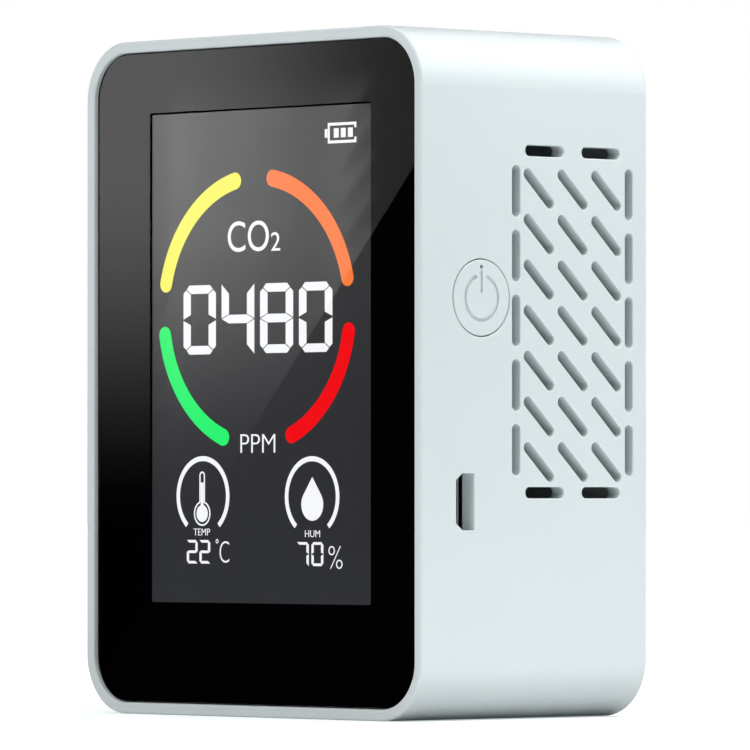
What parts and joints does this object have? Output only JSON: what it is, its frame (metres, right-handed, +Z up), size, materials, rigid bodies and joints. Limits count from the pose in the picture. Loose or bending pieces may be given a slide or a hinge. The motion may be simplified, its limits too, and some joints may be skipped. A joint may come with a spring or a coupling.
{
  "type": "air quality monitor",
  "caption": "Desktop air quality monitor: upright rounded box with a glossy display front, side vent slots, round side button, charging port and screwed back cover.",
  "frame": {"origin": "middle of the footprint on the bottom face", "axes": "+Z up, the display faces -Y, the button, vent and port are on the +X side"},
  "size_m": [0.068, 0.0414, 0.092],
  "materials": {
    "white_plastic": "fine satin texture",
    "screw_steel": "zinc plated",
    "clear_acrylic": "polished",
    "black_print": "screen printed behind the lens",
    "adhesive_tape": "foam tape",
    "polariser_film": "neutral grey film",
    "display_glass": "polished",
    "white_film": "diffusing film",
    "guide_acrylic": "polished acrylic",
    "led_resin": "cast resin",
    "inner_plastic": "natural nylon",
    "tinned_metal": "tinned",
    "circuit_board": "green solder mask",
    "chip_resin": "moulded epoxy",
    "ferrite": "pressed ferrite",
    "capacitor_ceramic": "fired ceramic",
    "black_plastic": "moulded",
    "gold_contact": "gold flash",
    "sensor_metal": "gold plated",
    "pouch_foil": "laminated foil",
    "display_white": "lit display segment",
    "display_yellow": "lit display segment",
    "display_orange": "lit display segment",
    "display_green": "lit display segment",
    "display_red": "lit display segment",
    "red_wire": "silicone insulation",
    "black_wire": "silicone insulation"
  },
  "bodies": {
    "case": {"housing": "white_plastic", "back_cover": "white_plastic", "back_cover_screws": "screw_steel", "front_lens": "clear_acrylic", "lens_mask": "black_print", "lens_adhesive": "adhesive_tape", "lcd_front_polariser": "polariser_film", "lcd_front_glass": "display_glass", "lcd_rear_glass": "display_glass", "lcd_rear_polariser": "polariser_film", "backlight_diffuser": "white_film", "backlight_guide": "guide_acrylic", "backlight_reflector": "white_film", "backlight_leds": "led_resin", "lcd_frame": "inner_plastic", "lcd_pins": "tinned_metal", "main_board": "circuit_board", "board_screws": "screw_steel", "controller_chip": "chip_resin", "controller_legs": "tinned_metal", "charger_chip": "chip_resin", "charger_legs": "tinned_metal", "crystal_can": "tinned_metal", "power_inductor": "ferrite", "humidity_sensor": "tinned_metal", "charge_led": "led_resin", "chip_resistors": "chip_resin", "chip_capacitors": "capacitor_ceramic", "switch_body": "black_plastic", "switch_pins": "tinned_metal", "switch_bracket": "tinned_metal", "usb_shell": "tinned_metal", "usb_tongue": "black_plastic", "usb_contacts": "gold_contact", "co2_sensor_board": "circuit_board", "co2_sensor_chamber": "sensor_metal", "co2_sensor_filter": "white_film", "co2_sensor_pins": "gold_contact", "battery_cell": "pouch_foil", "battery_tape": "adhesive_tape", "battery_protection_board": "circuit_board", "battery_socket": "inner_plastic", "battery_plug": "inner_plastic", "battery_lead_red": "red_wire", "battery_lead_black": "black_wire"},
    "button": {"power_button": "white_plastic"},
    "plunger": {"switch_plunger": "black_plastic"}
  },
  "joints": [
    {"name": "button_press", "type": "slide", "parent": "case", "child": "button", "axis": [-1, 0, 0], "range_m": [0, 0.0005], "stiffness_N_per_m": 2000},
    {"name": "plunger_press", "type": "slide", "parent": "case", "child": "plunger", "axis": [-1, 0, 0], "range_m": [0, 0.0003]}
  ],
  "couplings": [
    {"joint": "plunger_press", "follows": "button_press", "ratio": 0.5}
  ]
}
